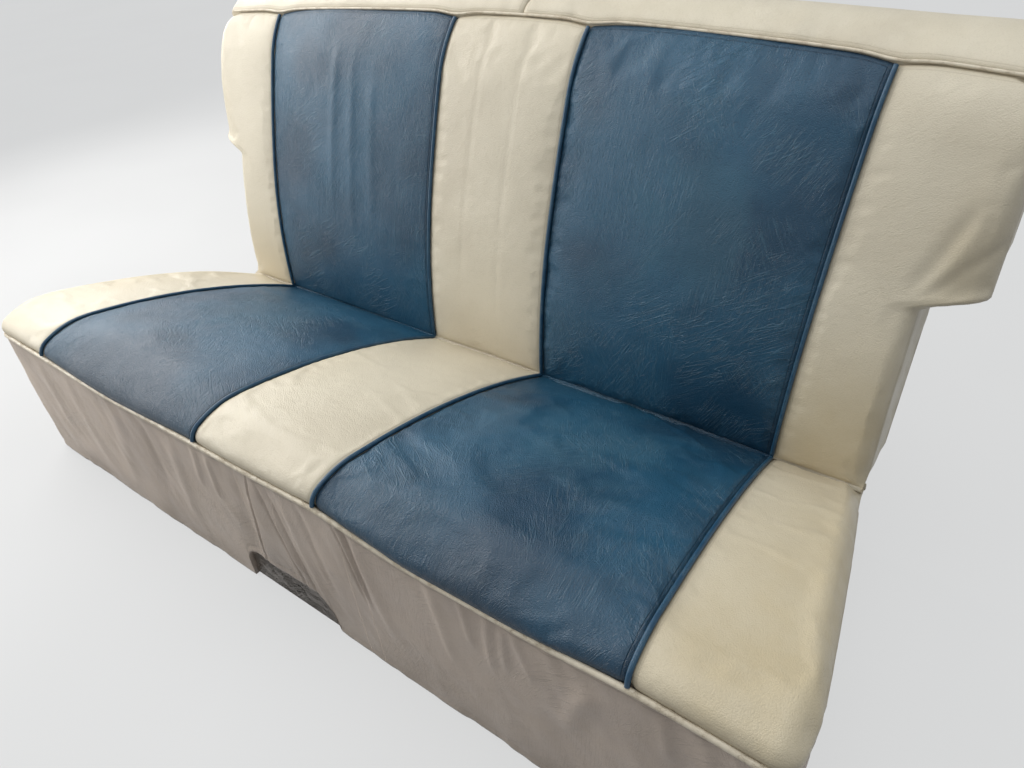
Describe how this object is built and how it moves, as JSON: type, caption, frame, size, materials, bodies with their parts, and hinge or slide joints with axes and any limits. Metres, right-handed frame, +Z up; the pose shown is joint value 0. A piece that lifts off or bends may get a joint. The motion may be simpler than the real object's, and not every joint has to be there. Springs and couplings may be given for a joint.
{
  "type": "rear bench seat",
  "caption": "Rear bench seat of a 1950s car in two-colour sewn vinyl: sprung cushion with a welted front skirt, leaning back with wings over the armrests, and a steel frame.",
  "frame": {"origin": "middle of the seat's footprint, on the floor plane that its base strips and feet stand on", "axes": "+X across the seat, +Y to its rear, +Z up"},
  "size_m": [1.47, 0.8011, 0.737],
  "materials": {
    "blue_vinyl": "worn semi-gloss blue vinyl",
    "cream_vinyl": "aged semi-gloss cream vinyl",
    "blue_cord": "dark blue vinyl piping",
    "cream_cord": "cream vinyl piping",
    "plain_cloth": "woven backing cloth",
    "burlap": "coarse woven jute",
    "padding": "cotton felt padding",
    "painted_steel": "satin black paint with light rust",
    "spring_steel": "oiled spring wire"
  },
  "bodies": {
    "root": {"back_bottom_cover": "plain_cloth", "back_burlap": "burlap", "back_cords": "blue_cord", "back_hooks": "painted_steel", "back_pad": "padding", "back_panel_blue_left": "blue_vinyl", "back_panel_blue_right": "blue_vinyl", "back_panel_centre": "cream_vinyl", "back_panel_outer_left": "cream_vinyl", "back_panel_outer_right": "cream_vinyl", "back_rail_bottom": "painted_steel", "back_rail_top": "painted_steel", "back_side_bar_left": "painted_steel", "back_side_bar_right": "painted_steel", "back_side_left": "cream_vinyl", "back_side_right": "cream_vinyl", "back_spring_clips": "spring_steel", "back_springs": "spring_steel", "back_top_roll_left": "cream_vinyl", "back_top_roll_right": "cream_vinyl", "back_upright_left": "painted_steel", "back_upright_right": "painted_steel", "cushion_base_front": "painted_steel", "cushion_base_rear": "painted_steel", "cushion_base_sides": "painted_steel", "cushion_burlap": "burlap", "cushion_cord_front": "cream_cord", "cushion_cords": "blue_cord", "cushion_pad": "padding", "cushion_panel_blue_left": "blue_vinyl", "cushion_panel_blue_right": "blue_vinyl", "cushion_panel_centre": "cream_vinyl", "cushion_panel_outer_left": "cream_vinyl", "cushion_panel_outer_right": "cream_vinyl", "cushion_posts": "painted_steel", "cushion_rail_front": "painted_steel", "cushion_rail_rear": "painted_steel", "cushion_rail_sides": "painted_steel", "cushion_rear_cover": "plain_cloth", "cushion_skirt_front": "cream_vinyl", "cushion_skirt_left": "cream_vinyl", "cushion_skirt_right": "cream_vinyl", "cushion_spring_clips": "spring_steel", "cushion_springs": "spring_steel"}
  },
  "joints": []
}
